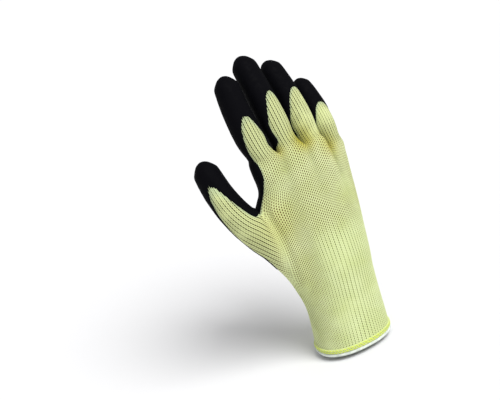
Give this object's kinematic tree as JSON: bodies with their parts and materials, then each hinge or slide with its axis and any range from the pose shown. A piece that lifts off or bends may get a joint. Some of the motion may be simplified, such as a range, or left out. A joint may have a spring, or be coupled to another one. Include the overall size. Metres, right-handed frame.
{
  "type": "latex coated grip glove",
  "caption": "Seamless knitted work glove with a dipped latex palm, thumb and fingertips, ribbed cuff and overlocked hem; right hand.",
  "frame": {"origin": "middle of the cuff's mouth, where the wrist goes in", "axes": "+Z from the mouth to the fingertips, +Y out of the palm, -Y out of the back of the hand, -X to the thumb"},
  "size_m": [0.1283, 0.0727, 0.2485],
  "materials": {
    "shell_knit": "matte seamless knit, pale yellow-green",
    "rib_knit": "matte ribbed knit, pale yellow-green",
    "latex": "matte crinkled dipped latex, black",
    "hem_thread": "matte overlocked elastic edge, off-white",
    "overlock_thread": "matte overlock stitches, bright yellow-green"
  },
  "bodies": {
    "root": {"rib_cuff": "rib_knit", "knit_shell": "shell_knit", "latex_coating": "latex", "hem_edge": "hem_thread", "overlock_band": "overlock_thread"}
  },
  "joints": []
}
